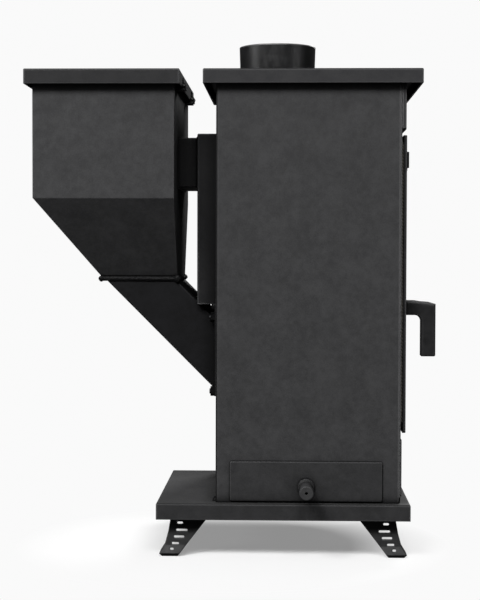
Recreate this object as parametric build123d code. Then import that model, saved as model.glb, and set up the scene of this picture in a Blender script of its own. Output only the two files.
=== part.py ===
"""Gravity-fed pellet stove: folded steel body, rear hopper and sloping chute, glazed door, side ash drawer.

Millimetres.  X runs from the hopper to the door, Y from the drawer side to the hinge side, Z up.
The origin is on the floor, under the middle of the stove's overall box.
"""
from build123d import *
import os

# ---------------------------------------------------------------- driving dimensions
# body: one folded shell, closed by a front frame; the height is from the floor to the top plate's face
stove_height = 945.0
body_length = 356.0
body_width = 410.0
body_sheet = 3.0
body_bend = 5.0

# base pan and top plate, both folded pans with open undersides
base_rim = 32.0
base_sheet = 3.0
base_behind = 115.0
base_ahead = 22.0
base_beside = 15.0
top_rim = 28.0
top_sheet = 4.0
top_behind = 25.0
top_ahead = 42.0
top_beside = 15.0
pan_bend = 3.0

# legs: pressed angle, flared to the foot, welded under the base pan
leg_height = 73.0
leg_sheet = 3.0
leg_wing = 73.0
leg_inset = 26.0
leg_foot_width = 15.0
leg_flare = [(1.0, 0.0), (0.92, 0.0), (0.62, 3.7), (0.28, 10.4), (0.08, 20.0), (0.0, 14.7)]
leg_slots = [(0.86, 14.0, 25.0), (0.67, 12.0, 34.0), (0.50, 8.0, 28.0), (0.33, 4.0, 18.0), (0.19, 1.0, 8.0)]
leg_slot_height = 4.5
leg_slot_corner = 1.35
leg_tab = 46.0

# flue collar
collar_radius = 76.0
collar_wall = 3.0
collar_height = 67.0
collar_socket = 50.0
collar_flare = 2.2
collar_ledge = 4.0
collar_from_back = 117.0

# front frame, rails and door
frame_sheet = 3.0
header_sheet = 8.0
rail_clip = 12.0
door_rise = 136.0
door_drop = 122.0
door_near_inset = 12.0
door_far_inset = 20.0
door_sheet = 6.0
door_stand = 4.3
door_lap = 24.0
door_corner = 4.0
door_edge = 0.8
header_drop = 10.0
header_height = 90.0

# window
door_stile = 74.0
window_rise = 165.0
window_drop = 73.0
window_corner = 14.0
glass_sheet = 4.0
glass_lap = 13.0
glass_tape = 1.5
tape_width = 11.0
clip_width = 16.0
clip_sheet = 2.0
clip_screw_radius = 2.5
clip_heel = 4.6
clip_flats = 8.0
clip_head_height = 2.6
clip_gap = 0.4
clip_grip = 7.8
clip_place = 1 / 3
seal_width = 10.0
seal_thickness = 4.0

# door hinges
hinge_radius = 6.0
hinge_pin_radius = 3.0
hinge_clearance = 0.06
hinge_knuckle = 26.0
hinge_gap = 0.4
hinge_leaf = 3.0
hinge_leaf_height = 50.0
hinge_from_end = 100.0
hinge_out = 8.0
hinge_leaf_reach = 30.0

# handle and latch
handle_rise = 243.0
handle_inset = 40.0
handle_reach = 58.8
handle_arm = 29.0
handle_grip = 29.0
handle_drop = 110.0
handle_thickness = 20.0
handle_inner_round = 12.0
handle_edge = 3.0
handle_crown = [(0.0, 0.0), (0.3, 0.0), (0.5, 2.0), (0.76, 3.0), (1.0, 7.0)]
handle_stand = 1.0
spindle_radius = 5.0
spindle_clearance = 0.06
bush_radius = 11.0
bush_lip = 1.2
tongue_length = 38.0
tongue_width = 18.0
tongue_sheet = 5.0
tongue_corner = 4.5
latch_nut_height = 6.0
spindle_tail = 3.0
tongue_gap = 0.4
latch_nut_flats = 15.0
keeper_sheet = 1.0
keeper_length = 44.0
keeper_width = 18.0

# air-wash strip on the door and primary-air plate below it
wash_inset = 8.0
wash_end = 6.0
register_tab = 4.3
wash_height = 31.0
wash_sheet = 2.5
wash_below_top = 32.0
wash_slot_length = 28.0
wash_slot_height = 8.0
wash_slots = 4
wash_pitch = 60.0
wash_travel = 30.0
air_plate_height = 110.0
air_plate_rise = 14.0
air_plate_sheet = 2.0
air_slot_length = 24.0
air_slot_height = 22.0
air_slots = 4
air_pitch = 56.0
air_slider_sheet = 2.0
air_slider_height = 40.0
air_slider_length = 262.0
register_clearance = 0.3
guide_lip = 3.0
guide_sheet = 1.2
guide_wall = 3.0

# ash drawer
drawer_start = 28.0
drawer_length = 296.0
drawer_height = 78.0
drawer_rise = 3.0
drawer_sheet = 3.0
drawer_edge = 2.4
drawer_gap = 0.4
drawer_lap = 6.0
tray_depth = 372.0
tray_sheet = 1.5
tray_clearance = 2.0
runner_width = 14.0
runner_sheet = 2.0
runner_clearance = 0.3
knob_radius = 13.5
knob_length = 80.0
knob_neck_radius = 11.5
knob_neck_length = 52.0
knob_shoulder = 6.0
knob_hole_radius = 2.8
knob_hole_depth = 14.0
knob_edge = 1.2
knob_drop = 10.0

# firebox
hearth_rise = 95.0
hearth_sheet = 4.0
hearth_lip = 18.0
grate_length = 150.0
grate_width = 190.0
grate_thickness = 6.0
pot_sheet = 3.0
pot_from_back = 34.0
pot_slot_width = 5.0
pot_slot_height = 34.0
pot_slot_pitch = 20.0
pot_rim = 8.0
pot_clearance = 1.0
slide_cheek = 40.0
slide_cheek_end = 14.0
brick_thickness = 25.0
brick_height = 300.0
brick_clip = 20.0
brick_edge = 2.0
baffle_sheet = 5.0
baffle_drop = 106.0
baffle_length = 250.0
baffle_bar = 12.0
baffle_edge = 25.0
baffle_clearance = 2.0

# rear air channel and the duct that ties it to the hopper
channel_depth = 41.0
channel_width = 250.0
channel_top_drop = 118.0
channel_drop = 46.0
channel_clearance = 0.5
channel_sheet = 2.5
channel_port_height = 26.0
duct_width = 206.0
duct_height = 98.6
duct_top_drop = 124.4
duct_sheet = 2.5
duct_corner = 2.0
weld_leg = 5.0
weld_bevel = 4.0
stitch_length = 24.0
stitch_inset = 30.0

# hopper, lid, chute
hopper_gap = 81.0
hopper_length = 275.5
hopper_width = 410.0
hopper_sheet = 2.5
hopper_fold = 248.5
hopper_lip = 12.0
lid_rim = 29.0
lid_sheet = 2.0
lid_bend = 2.4
lid_beside = 15.0
lid_behind = 15.0
lid_ahead = 11.0
lid_stand = 2.0
lid_seal_width = 8.0
lid_seal_inset = 2.0
lid_seal_thickness = 1.7
lid_hinge_radius = 4.0
lid_hinge_pin_radius = 2.0
lid_hinge_knuckle = 22.0
lid_hinge_spread = 130.0
lid_hinge_leaf = 2.0
lid_hinge_leaf_rise = 16.5
lid_hinge_gap = 0.4
outlet_length = 153.0
chute_inset = 12.0
chute_rise = 212.9
chute_width = 220.0
chute_sheet = 3.0
chute_bend = 2.5
band_height = 9.0
band_out = 3.0
band_edge = 1.2
flange_sheet = 4.0
flange_margin = 24.0
flange_lip = 13.0
gasket_sheet = 2.0
gasket_margin = 6.0
chute_stud_radius = 5.0
chute_stud_clearance = 0.3
chute_stud_tail = 2.0
stud_inset = 3.25
chute_nut_flats = 17.0
chute_nut_height = 8.0
nut_clearance = 0.05

small = 0.5

# ---------------------------------------------------------------- places worked out from the sizes
door_face = frame_sheet + door_stand + door_sheet
handle_out = door_face + handle_stand + handle_reach
hopper_out = hopper_gap + hopper_length + lid_behind
knob_out = drawer_gap + drawer_sheet + knob_length
body_x = (hopper_out - handle_out) / 2
body_y = (knob_out - top_beside) / 2

x_back = body_x - body_length / 2
x_front = body_x + body_length / 2
y_near = body_y - body_width / 2
y_far = body_y + body_width / 2
z_pan = leg_height
z_base = leg_height + base_rim
z_top = stove_height
z_cap = z_top - top_sheet
collar_x = x_back + collar_from_back

x_frame = x_front + frame_sheet
x_leaf = x_frame + door_stand
x_door = x_leaf + door_sheet
door_near = y_near + door_near_inset
door_far = y_far - door_far_inset
door_bottom = z_base + door_rise
door_top = z_cap - door_drop
door_mid = (door_near + door_far) / 2
window_width = door_far - door_near - 2 * door_stile
window_bottom = door_bottom + window_rise
window_height = door_top - window_drop - window_bottom
window_mid = window_bottom + window_height / 2

hopper_front = x_back - hopper_gap
hopper_back = hopper_front - hopper_length
hopper_near = body_y - hopper_width / 2
hopper_far = body_y + hopper_width / 2
z_rim = z_top - lid_sheet - lid_stand
z_fold = z_top - hopper_fold
outlet_back = hopper_front - outlet_length
chute_back = outlet_back + chute_inset
flange_face = x_back - gasket_sheet - flange_sheet

# where the 45 degree chute leaves the hopper and where it meets the back of the body
chute_low = z_base + chute_rise
z_chute = chute_low + flange_face - chute_back
z_outlet = z_chute + band_height
chute_high = z_chute - (flange_face - hopper_front)


# ---------------------------------------------------------------- shared shapes
def block(x0, x1, y0, y1, z0, z1):
    """Box between two corners."""
    return Pos((x0 + x1) / 2, (y0 + y1) / 2, (z0 + z1) / 2) * Box(x1 - x0, y1 - y0, z1 - z0)


def rod(start, along, radius, length):
    """Round bar from a point, along 'X', 'Y' or 'Z'."""
    turn = {"X": (0, 90, 0), "Y": (-90, 0, 0), "Z": (0, 0, 0)}[along]
    bar = Cylinder(radius, length, align=(Align.CENTER, Align.CENTER, Align.MIN))
    return Pos(*start) * Rot(*turn) * bar


def hexagon(start, along, flats, height):
    """Six-sided head or nut with its base at a point."""
    turn = {"X": (0, 90, 0), "Y": (-90, 0, 0), "Z": (0, 0, 0)}[along]
    head = extrude(RegularPolygon(flats / 2, 6, major_radius=False), height)
    return Pos(*start) * Rot(*turn) * head


def folded_pan(x0, x1, y0, y1, z0, z1, sheet, bend):
    """Folded pan, open underneath, with bent upper edges and mitred corners."""
    outside = block(x0, x1, y0, y1, z0, z1)
    outside = fillet(outside.faces().sort_by(Axis.Z)[-1].edges(), bend)
    inside = block(x0 + sheet, x1 - sheet, y0 + sheet, y1 - sheet, z0 - sheet, z1 - sheet)
    return outside - inside


def prism_y(points, y0, y1):
    """Polygon in the XZ plane, carried from y0 to y1."""
    wire = Polyline(*[(x, y0, z) for x, z in points], close=True)
    return extrude(make_face(wire), y1 - y0, dir=(0, 1, 0))


def prism_x(points, x0, x1):
    """Polygon in the YZ plane, carried from x0 to x1."""
    wire = Polyline(*[(x0, y, z) for y, z in points], close=True)
    return extrude(make_face(wire), x1 - x0, dir=(1, 0, 0))


def plate_x(x0, x1, y0, y1, z0, z1, corner):
    """Upright plate facing X with clipped corners."""
    plate = block(x0, x1, y0, y1, z0, z1)
    return chamfer(plate.edges().filter_by(Axis.X), corner)


def round_plate_x(x0, x1, y0, y1, z0, z1, corner):
    """Upright plate facing X with rounded corners."""
    plate = block(x0, x1, y0, y1, z0, z1)
    return fillet(plate.edges().filter_by(Axis.X), corner)


def lattice(count, pitch):
    """Offsets of a centred row."""
    return [(index - (count - 1) / 2) * pitch for index in range(count)]


nodes = {}


def keep(name, *solids):
    """Collect a node; loose pieces of one kind go in as separate solids."""
    nodes[name] = solids[0] if len(solids) == 1 else Compound(children=list(solids))


# ---------------------------------------------------------------- base pan, legs
def base_pan():
    pan = folded_pan(
        x_back - base_behind, x_front + base_ahead,
        y_near - base_beside, y_far + base_beside,
        z_pan, z_base, base_sheet, pan_bend,
    )
    return pan


def turned_over(shape):
    """The same shape with its X and Y changed over."""
    return mirror(shape, Plane((0, 0, 0), z_dir=(1, -1, 0)))


def leg():
    """One pressed-angle leg: both wings run towards +X and +Y from the origin corner."""
    top = leg_height + base_rim - base_sheet
    rise = [(0, top)] + [(out, share * leg_height) for share, out in leg_flare]
    outer = [(-out, z) for out, z in rise]
    inner = [(leg_sheet - out, z) for out, z in reversed(rise)]
    strip = prism_y(outer + inner, -leg_wing, leg_wing)
    across = prism_y(outer + [(leg_wing, 0), (leg_wing, top)], -leg_wing, leg_wing)
    wing = strip & turned_over(across)
    foot = (leg_foot_width, -small)
    wing -= turned_over(prism_y([foot, (leg_wing + small, leg_height), (leg_wing + small, -small)],
                                -leg_wing, leg_wing))
    for share, start, end in leg_slots:
        z = share * leg_height
        slot = block(start, end, -leg_wing / 2, leg_sheet + small,
                     z - leg_slot_height / 2, z + leg_slot_height / 2)
        slot = chamfer(slot.edges().filter_by(Axis.Y), leg_slot_corner)
        wing -= turned_over(slot)
    body = wing + turned_over(wing)
    return body + block(leg_sheet - small, leg_tab, leg_sheet - small, leg_tab, top - leg_sheet, top)


def leg_places():
    """Corner name, corner point and the mirrors that bring the leg there."""
    x0 = x_back - base_behind + leg_inset
    x1 = x_front + base_ahead - leg_inset
    y0 = y_near - base_beside + leg_inset
    y1 = y_far + base_beside - leg_inset
    return {"rear_near": (x0, y0, 1, 1), "rear_far": (x0, y1, 1, -1),
            "front_near": (x1, y0, -1, 1), "front_far": (x1, y1, -1, -1)}


def put_leg(shape, place):
    x, y, sx, sy = place
    if sx < 0:
        shape = mirror(shape, Plane.YZ)
    if sy < 0:
        shape = mirror(shape, Plane.XZ)
    return Pos(x, y, 0) * shape


# ---------------------------------------------------------------- body shell and openings in it
drawer_x0 = x_back + drawer_start
drawer_x1 = drawer_x0 + drawer_length
drawer_z0 = z_base + drawer_rise
drawer_z1 = drawer_z0 + drawer_height
z_hearth = z_base + hearth_rise
chute_y0 = body_y - chute_width / 2
chute_y1 = body_y + chute_width / 2
channel_y0 = body_y - channel_width / 2
channel_y1 = body_y + channel_width / 2
duct_y0 = body_y - duct_width / 2
duct_y1 = body_y + duct_width / 2
duct_z1 = z_top - duct_top_drop
duct_z0 = duct_z1 - duct_height

# the channel's foot, the chute's flange and its four studs
channel_z0 = z_chute - channel_drop
flange_z0 = chute_low - flange_lip
flange_z1 = channel_z0 - channel_clearance
flange_y0 = chute_y0 - flange_margin
flange_y1 = chute_y1 + flange_margin
channel_z1 = z_top - channel_top_drop
stud_z = (flange_z0 + flange_lip - stud_inset, chute_high + stud_inset)
stud_y = (flange_y0 + flange_margin / 2, flange_y1 - flange_margin / 2)
wall_shift = chute_sheet * 2 ** 0.5
mouth_z0 = chute_low + wall_shift
mouth_z1 = chute_high - wall_shift


def body_shell():
    outside = block(x_back, x_front, y_near, y_far, z_base, z_cap)
    rear_corners = outside.edges().filter_by(Axis.Z).sort_by(Axis.X)[:2]
    outside = fillet(rear_corners, body_bend)
    inside = block(x_back + body_sheet, x_front + small, y_near + body_sheet, y_far - body_sheet,
                   z_base - small, z_cap + small)
    shell = outside - inside
    shell -= block(drawer_x0 + drawer_lap, drawer_x1 - drawer_lap, y_near - small, y_near + body_sheet + small,
                   drawer_z0 + drawer_lap, drawer_z1 - drawer_lap)
    shell -= block(x_back - small, x_back + body_sheet + small, chute_y0 + chute_sheet, chute_y1 - chute_sheet,
                   mouth_z0, mouth_z1)
    for z in (channel_z0 + channel_port_height, channel_z1 - 2 * channel_port_height):
        shell -= block(x_back - small, x_back + body_sheet + small, channel_y0 + channel_port_height,
                       channel_y1 - channel_port_height, z, z + channel_port_height)
    return shell


def front_frame():
    frame = block(x_front, x_frame, y_near, y_far, z_base, z_cap)
    feet = frame.edges().filter_by(Axis.X).sort_by(Axis.Z)[:2]
    frame = chamfer(feet, rail_clip)
    frame -= plate_x(x_front - small, x_frame + small, door_near + door_lap, door_far - door_lap,
                     door_bottom + door_lap, door_top - door_lap, window_corner)
    return frame - air_openings(x_front, x_frame)


air_plate_z0 = z_base + air_plate_rise
air_z = air_plate_z0 + air_plate_height / 2


def punched(x0, x1, centre_z, count, pitch, length, height):
    """Row of rectangular slots through a sheet that faces X."""
    return [block(x0 - small, x1 + small, door_mid + offset - length / 2, door_mid + offset + length / 2,
                  centre_z - height / 2, centre_z + height / 2) for offset in lattice(count, pitch)]


def air_openings(x0, x1):
    return punched(x0, x1, air_z, air_slots, air_pitch, air_slot_length, air_slot_height)


def wash_openings(x0, x1):
    return punched(x0, x1, wash_z, wash_slots, wash_pitch, wash_slot_length, wash_slot_height)


def header_rail():
    z0 = door_top + header_drop
    return plate_x(x_frame, x_frame + header_sheet, y_near, y_far, z0, z0 + header_height, pan_bend)


# ---------------------------------------------------------------- top plate and flue collar
def top_plate():
    pan = folded_pan(
        x_back - top_behind, x_front + top_ahead,
        y_near - top_beside, y_far + top_beside,
        z_top - top_rim, z_top, top_sheet, pan_bend,
    )
    return pan - rod((collar_x, body_y, z_cap - small), "Z", collar_radius - collar_wall - collar_ledge,
                     top_sheet + 1)


def flue_collar():
    """Cast collar: drawn outside, straight socket inside, with a slight flare that leads the pipe in."""
    bore = collar_radius - collar_wall
    z1 = z_top + collar_height
    z_flare = z_top + collar_socket
    outline = Polyline(
        (collar_radius, 0, z_top), (collar_radius + collar_flare, 0, z1),
        (bore + collar_flare, 0, z1), (bore, 0, z_flare), (bore, 0, z_top), close=True)
    return Pos(collar_x, body_y, 0) * revolve(make_face(outline), Axis.Z)


# ---------------------------------------------------------------- door
def door_leaf():
    leaf = round_plate_x(x_leaf, x_door, door_near, door_far, door_bottom, door_top, door_corner)
    leaf = chamfer(leaf.faces().sort_by(Axis.X)[-1].edges(), door_edge)
    leaf -= round_plate_x(x_leaf - small, x_door + small, door_near + door_stile, door_far - door_stile,
                          window_bottom, window_bottom + window_height, window_corner)
    leaf -= rod((x_leaf - small, handle_y, handle_height), "X", bush_radius, door_sheet + 1)
    return leaf - wash_openings(x_leaf, x_door)


handle_y = door_near + handle_inset
tongue_back = door_stand + frame_sheet + keeper_sheet + tongue_gap
handle_height = door_bottom + handle_rise
wash_z = door_top - wash_below_top - wash_height / 2
glass_y0 = door_mid - window_width / 2 - glass_lap
glass_y1 = door_mid + window_width / 2 + glass_lap
glass_z0 = window_bottom - glass_lap
glass_z1 = window_bottom + window_height + glass_lap
tape_x = x_leaf - glass_tape
glass_x = tape_x - glass_sheet


def ring_x(x0, x1, y0, y1, z0, z1, corner, width):
    """Flat ring facing X; the sizes are those of its outer edge."""
    outer = plate_x(x0, x1, y0, y1, z0, z1, corner)
    return outer - plate_x(x0 - small, x1 + small, y0 + width, y1 - width, z0 + width, z1 - width, corner / 2)


clip_reach = clip_heel + clip_sheet + 2 * clip_gap


def glass_clips():
    """Bent strips: a slotted foot on the door, a step past the glass and a tip that holds it."""
    clips = []
    screws = []
    step = clip_heel + clip_gap
    half = clip_width / 2
    slot = clip_screw_radius + clip_gap
    foot = block(x_leaf - clip_sheet, x_leaf, -clip_heel, step + clip_sheet, -half, half)
    foot -= block(x_leaf - clip_sheet - small, x_leaf + small, -clip_heel - small, slot, -slot, slot)
    riser = block(glass_x - clip_sheet, x_leaf - clip_sheet, step, step + clip_sheet, -half, half)
    tip = block(glass_x - clip_sheet, glass_x, step, clip_reach + clip_grip, -half, half)
    clip = foot + riser + tip
    screw = hexagon((x_leaf - clip_sheet - clip_head_height, 0, 0), "X", clip_flats, clip_head_height)
    screw += rod((x_leaf - clip_sheet, 0, 0), "X", clip_screw_radius, clip_sheet)
    for y, angle in ((glass_y0 - clip_reach, 0), (glass_y1 + clip_reach, 180)):
        for share in (-clip_place, clip_place):
            spot = Pos(0, y, window_mid + share * window_height)
            clips.append(spot * Rot(angle, 0, 0) * clip)
            screws.append(spot * screw)
    return clips, screws


def door_seal():
    gap = door_lap / 2 - seal_width / 2
    return ring_x(x_leaf - seal_thickness, x_leaf, door_near + gap, door_far - gap,
                  door_bottom + gap, door_top - gap, window_corner, seal_width)


# ---------------------------------------------------------------- door hinges
hinge_x = x_frame + hinge_out
hinge_y = door_far + hinge_out
hinge_z = (door_bottom + hinge_from_end, door_top - hinge_from_end)


def door_hinges():
    """Two hinges: the upper knuckle is on the door and the lower one, with the pin, on the frame."""
    fixed = []
    moving = []
    for z in hinge_z:
        low = z - hinge_knuckle - hinge_gap / 2
        high = z + hinge_gap / 2
        bottom = rod((hinge_x, hinge_y, low), "Z", hinge_radius, hinge_knuckle)
        bottom += block(x_frame, x_frame + hinge_leaf, hinge_y - hinge_radius, y_far - small,
                        z - hinge_leaf_height / 2, z - hinge_gap / 2)
        bottom += block(x_frame, hinge_x, hinge_y - hinge_leaf / 2, hinge_y + hinge_leaf / 2,
                        low, low + hinge_knuckle)
        bottom += rod((hinge_x, hinge_y, low), "Z", hinge_pin_radius, 2 * hinge_knuckle + hinge_gap)
        fixed.append(bottom)
        top = rod((hinge_x, hinge_y, high), "Z", hinge_radius, hinge_knuckle)
        top += block(x_door, x_door + hinge_leaf, door_far - hinge_leaf_reach, hinge_y,
                     high, z + hinge_leaf_height / 2)
        top -= rod((hinge_x, hinge_y, high - small), "Z", hinge_pin_radius + hinge_clearance,
                   hinge_knuckle + 2 * small)
        moving.append(top)
    return fixed, moving


# ---------------------------------------------------------------- handle, spindle and latch
def door_handle():
    """Moulded L handle: flat arm out from the door, then a grip hanging down."""
    x0 = x_door + handle_stand
    x1 = x0 + handle_reach
    z1 = handle_height + handle_arm / 2
    z0 = handle_height - handle_arm / 2
    outline = [(x0 + share * handle_reach, z1 - drop) for share, drop in handle_crown]
    outline += [(x1, z1 - handle_drop), (x1 - handle_grip, z1 - handle_drop), (x1 - handle_grip, z0), (x0, z0)]
    body = prism_y(outline, handle_y - handle_thickness / 2, handle_y + handle_thickness / 2)
    upright = body.edges().filter_by(Axis.Y)
    inner = upright.sort_by_distance((x1 - handle_grip, handle_y, z0))[0]
    body = fillet(inner, handle_inner_round)
    low = body.edges().filter_by(Axis.Y).group_by(Axis.Z)[0]
    body = fillet(low, handle_edge)
    body = chamfer(body.faces().sort_by(Axis.Y)[0].edges(), handle_edge / 2)
    body = chamfer(body.faces().sort_by(Axis.Y)[-1].edges(), handle_edge / 2)
    return body - rod((x0 - small, handle_y, handle_height), "X", spindle_radius, handle_reach / 2 + small)


def spindle():
    start = x_leaf - tongue_back - tongue_sheet - latch_nut_height - spindle_tail
    end = x_door + handle_stand + handle_reach / 2
    return rod((start, handle_y, handle_height), "X", spindle_radius, end - start)


def handle_bush():
    bush = rod((x_leaf - bush_lip, handle_y, handle_height), "X", bush_radius, door_sheet + bush_lip)
    return bush - rod((x_leaf - tongue_back, handle_y, handle_height), "X", spindle_radius + spindle_clearance,
                      door_sheet + 2 * tongue_back)


def latch_tongue():
    """Flat bar on the spindle; upright when released, it turns behind the frame to lock."""
    x1 = x_leaf - tongue_back
    bar = block(x1 - tongue_sheet, x1, handle_y - tongue_width / 2, handle_y + tongue_width / 2,
                handle_height - tongue_width / 2, handle_height + tongue_length)
    bar = chamfer(bar.edges().filter_by(Axis.X), tongue_corner)
    nut_x = x1 - tongue_sheet - latch_nut_height
    nut = hexagon((nut_x, handle_y, handle_height), "X", latch_nut_flats, latch_nut_height)
    cut = rod((nut_x - small, handle_y, handle_height), "X", spindle_radius, x1 - nut_x + 2 * small)
    return bar - cut, nut - cut


# ---------------------------------------------------------------- sliding air registers
def register_strip(x0, sheet, y0, y1, z, height, tab, slots):
    """Punched strip that slides along Y, its near end bent out as a finger tab."""
    strip = plate_x(x0, x0 + sheet, y0, y1, z - height / 2, z + height / 2, sheet)
    return strip - slots + block(x0, x0 + register_tab, y0, y0 + sheet, z - tab / 2, z + tab / 2)


def register_guides(x0, sheet, y0, y1, z, height):
    """Two lipped rails that hold the strip to the plate behind it."""
    rails = []
    for side in (-1, 1):
        edge = side * (height / 2 + register_clearance)
        x1 = x0 + sheet + register_clearance
        inner = z + edge - side * guide_lip
        outer = z + edge + side * guide_wall
        outline = [(x0, z + edge), (x1, z + edge), (x1, inner), (x1 + guide_sheet, inner),
                   (x1 + guide_sheet, outer), (x0, outer)]
        rails.append(prism_y(outline, y0, y1))
    return rails


wash_half = (wash_slots - 1) * wash_pitch / 2 + wash_slot_length / 2
wash_y0 = door_near + wash_inset
wash_y1 = door_mid + wash_half + wash_travel + wash_end


def wash_strip():
    x0 = x_door + register_clearance
    x1 = x0 + wash_sheet
    return register_strip(x0, wash_sheet, wash_y0, wash_y1, wash_z, wash_height, wash_height,
                          wash_openings(x0, x1))


air_x = x_frame + air_plate_sheet
air_y0 = door_mid - air_slider_length / 2
air_y1 = door_mid + air_slider_length / 2


def air_plate():
    z1 = air_plate_z0 + air_plate_height
    return plate_x(x_frame, air_x, y_near, y_far, air_plate_z0, z1, pan_bend) - air_openings(x_frame, air_x)


def air_strip():
    x0 = air_x + register_clearance
    x1 = x0 + air_slider_sheet
    tab = air_slider_height - 2 * (guide_lip + guide_sheet)
    return register_strip(x0, air_slider_sheet, air_y0, air_y1, air_z, air_slider_height, tab,
                          air_openings(x0, x1))


# ---------------------------------------------------------------- ash drawer
tray_x0 = drawer_x0 + drawer_lap + tray_clearance
tray_x1 = drawer_x1 - drawer_lap - tray_clearance
tray_z0 = drawer_z0 + drawer_lap + tray_clearance
tray_z1 = drawer_z1 - drawer_lap - tray_clearance
drawer_y = y_near - drawer_gap
knob_x = (drawer_x0 + drawer_x1) / 2
knob_z = (drawer_z0 + drawer_z1) / 2 - knob_drop


def drawer_front():
    front = block(drawer_x0, drawer_x1, drawer_y - drawer_sheet, drawer_y, drawer_z0, drawer_z1)
    front = chamfer(front.edges().filter_by(Axis.Y), drawer_edge)
    return chamfer(front.faces().sort_by(Axis.Y)[0].edges(), drawer_edge / 2)


def ash_tray():
    """Tray folded up along its long sides, and the two end plates welded into it."""
    outline = [(tray_x0, tray_z1), (tray_x0, tray_z0), (tray_x1, tray_z0), (tray_x1, tray_z1),
               (tray_x1 - tray_sheet, tray_z1), (tray_x1 - tray_sheet, tray_z0 + tray_sheet),
               (tray_x0 + tray_sheet, tray_z0 + tray_sheet), (tray_x0 + tray_sheet, tray_z1)]
    tray = prism_y(outline, drawer_y, drawer_y + tray_depth)
    ends = [block(tray_x0 + tray_sheet, tray_x1 - tray_sheet, y, y + tray_sheet, tray_z0 + tray_sheet, tray_z1)
            for y in (drawer_y, drawer_y + tray_depth - tray_sheet)]
    return tray, ends


def drawer_knob():
    """Turned knob: slim neck, thicker head and a blunt end with a blind hole."""
    outline = Polyline(
        (0, 0), (knob_neck_radius, 0), (knob_neck_radius, knob_neck_length),
        (knob_radius, knob_neck_length + knob_shoulder), (knob_radius, knob_length - knob_edge),
        (knob_radius - knob_edge, knob_length), (knob_hole_radius, knob_length),
        (knob_hole_radius, knob_length - knob_hole_depth), (0, knob_length - knob_hole_depth), close=True)
    turned = revolve(make_face(outline), Axis.Y)
    return Pos(knob_x, drawer_y - drawer_sheet, knob_z) * Rot(180, 0, 0) * turned


def drawer_runners():
    """Two channel rails on the base, under the long edges of the tray."""
    rails = []
    top = tray_z0 - runner_clearance
    for x, side in ((tray_x0, 1), (tray_x1, -1)):
        edge = x + side * runner_width
        web = x + side * runner_sheet
        outline = [(x, z_base), (edge, z_base), (edge, z_base + runner_sheet), (web, z_base + runner_sheet),
                   (web, top - runner_sheet), (edge, top - runner_sheet), (edge, top), (x, top)]
        rails.append(prism_y(outline, y_near + 2 * body_sheet, y_far - 2 * body_sheet))
    return rails


# ---------------------------------------------------------------- firebox
hearth_x0 = x_back + body_sheet
hearth_x1 = x_front
hearth_y0 = y_near + body_sheet
hearth_y1 = y_far - body_sheet
pot_x0 = x_back + pot_from_back
pot_x1 = pot_x0 + grate_length + 2 * pot_sheet
pot_y0 = body_y - grate_width / 2 - pot_sheet
pot_y1 = body_y + grate_width / 2 + pot_sheet


slide_end = pot_x0 + pot_sheet
pot_height = mouth_z0 - (slide_end - hearth_x0) - wall_shift - pot_clearance - z_hearth


def hearth_plate():
    """Folded shelf with turned-down edges and the grate hole."""
    shelf = block(hearth_x0, hearth_x1, hearth_y0, hearth_y1, z_hearth - hearth_lip, z_hearth)
    shelf -= block(hearth_x0 + hearth_sheet, hearth_x1 - hearth_sheet, hearth_y0 + hearth_sheet,
                   hearth_y1 - hearth_sheet, z_hearth - hearth_lip - small, z_hearth - hearth_sheet)
    return shelf - block(pot_x0 + pot_rim, pot_x1 - pot_rim, pot_y0 + pot_rim, pot_y1 - pot_rim,
                         z_hearth - hearth_lip, z_hearth + small)


def fire_grate():
    """Cast grate of bars across X with slots between them."""
    gap = register_clearance
    grate = block(pot_x0 + pot_sheet + gap, pot_x1 - pot_sheet - gap, pot_y0 + pot_sheet + gap,
                  pot_y1 - pot_sheet - gap, z_hearth, z_hearth + grate_thickness)
    bars = int((grate_width - 2 * pot_rim) // pot_slot_pitch)
    for offset in lattice(bars, pot_slot_pitch):
        y = body_y + offset
        grate -= block(pot_x0 + 2 * pot_rim, pot_x1 - 2 * pot_rim, y - pot_slot_width, y + pot_slot_width,
                       z_hearth - small, z_hearth + grate_thickness + small)
    return grate


def burn_pot():
    """Open basket around the grate with air slots through every wall."""
    pot = block(pot_x0, pot_x1, pot_y0, pot_y1, z_hearth, z_hearth + pot_height)
    pot -= block(pot_x0 + pot_sheet, pot_x1 - pot_sheet, pot_y0 + pot_sheet, pot_y1 - pot_sheet,
                 z_hearth - small, z_hearth + pot_height + small)
    z0 = z_hearth + 2 * pot_rim
    x_mid = (pot_x0 + pot_x1) / 2
    for offset in lattice(int((grate_width - 2 * pot_rim) // pot_slot_pitch), pot_slot_pitch):
        pot -= block(pot_x0 - small, pot_x1 + small, body_y + offset - pot_slot_width / 2,
                     body_y + offset + pot_slot_width / 2, z0, z0 + pot_slot_height)
    for offset in lattice(int((grate_length - 2 * pot_rim) // pot_slot_pitch), pot_slot_pitch):
        pot -= block(x_mid + offset - pot_slot_width / 2, x_mid + offset + pot_slot_width / 2, pot_y0 - small,
                     pot_y1 + small, z0, z0 + pot_slot_height)
    return pot


def feed_slide():
    """Tongue that carries pellets from the chute mouth over the rim of the basket."""
    x0 = x_back + body_sheet
    x1 = slide_end
    low = mouth_z0 - (x1 - x0)
    floor = [(x0, mouth_z0), (x1, low), (x1, low - wall_shift), (x0, mouth_z0 - wall_shift)]
    cheek = [(x0, mouth_z0 + slide_cheek), (x1, low + slide_cheek_end), (x1, low), (x0, mouth_z0)]
    slide = prism_y(floor, chute_y0 + chute_sheet, chute_y1 - chute_sheet)
    slide += prism_y(cheek, chute_y0 + chute_sheet, chute_y0 + 2 * chute_sheet)
    slide += prism_y(cheek, chute_y1 - 2 * chute_sheet, chute_y1 - chute_sheet)
    return slide


brick_x0 = x_back + 2 * body_sheet
brick_x1 = x_front - 2 * brick_thickness


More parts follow.
